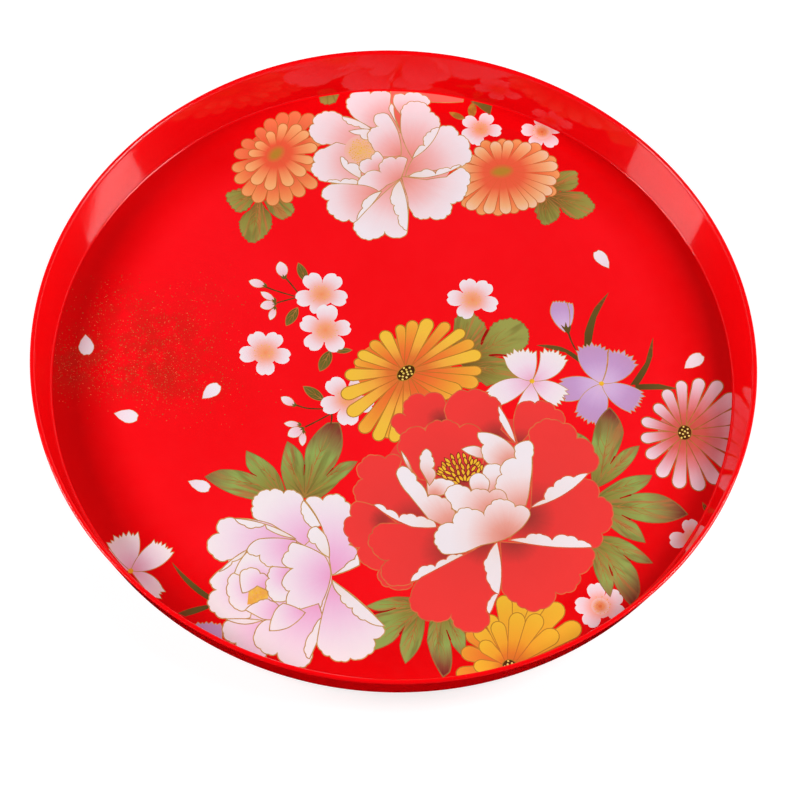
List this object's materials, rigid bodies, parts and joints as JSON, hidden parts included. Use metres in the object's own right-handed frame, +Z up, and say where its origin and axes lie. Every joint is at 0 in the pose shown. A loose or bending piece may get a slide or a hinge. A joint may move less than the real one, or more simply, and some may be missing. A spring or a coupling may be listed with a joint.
{
  "type": "round serving tray",
  "caption": "Round serving tray with a flat floral-printed floor, a low flared wall with a rounded rim, and a foot ring underneath.",
  "frame": {"origin": "centre of the foot ring's underside, on the tray's axis, on the surface that the tray stands on", "axes": "+Z up along the tray's axis, out of the open side; +Y towards the edge that is farthest from the viewer in the picture, where the pink peony with two orange chrysanthemums is printed; +X to the viewer's right"},
  "size_m": [0.35, 0.35, 0.03],
  "materials": {
    "red_melamine": "high gloss red moulding",
    "printed_foil": "red ground printed with peonies, chrysanthemums, cherry blossom, pinks, leaves, gold line and gold dust",
    "clear_glaze": "clear satin gloss"
  },
  "bodies": {
    "root": {"tray_body": "red_melamine", "printed_foil": "printed_foil", "clear_glaze": "clear_glaze"}
  },
  "joints": []
}
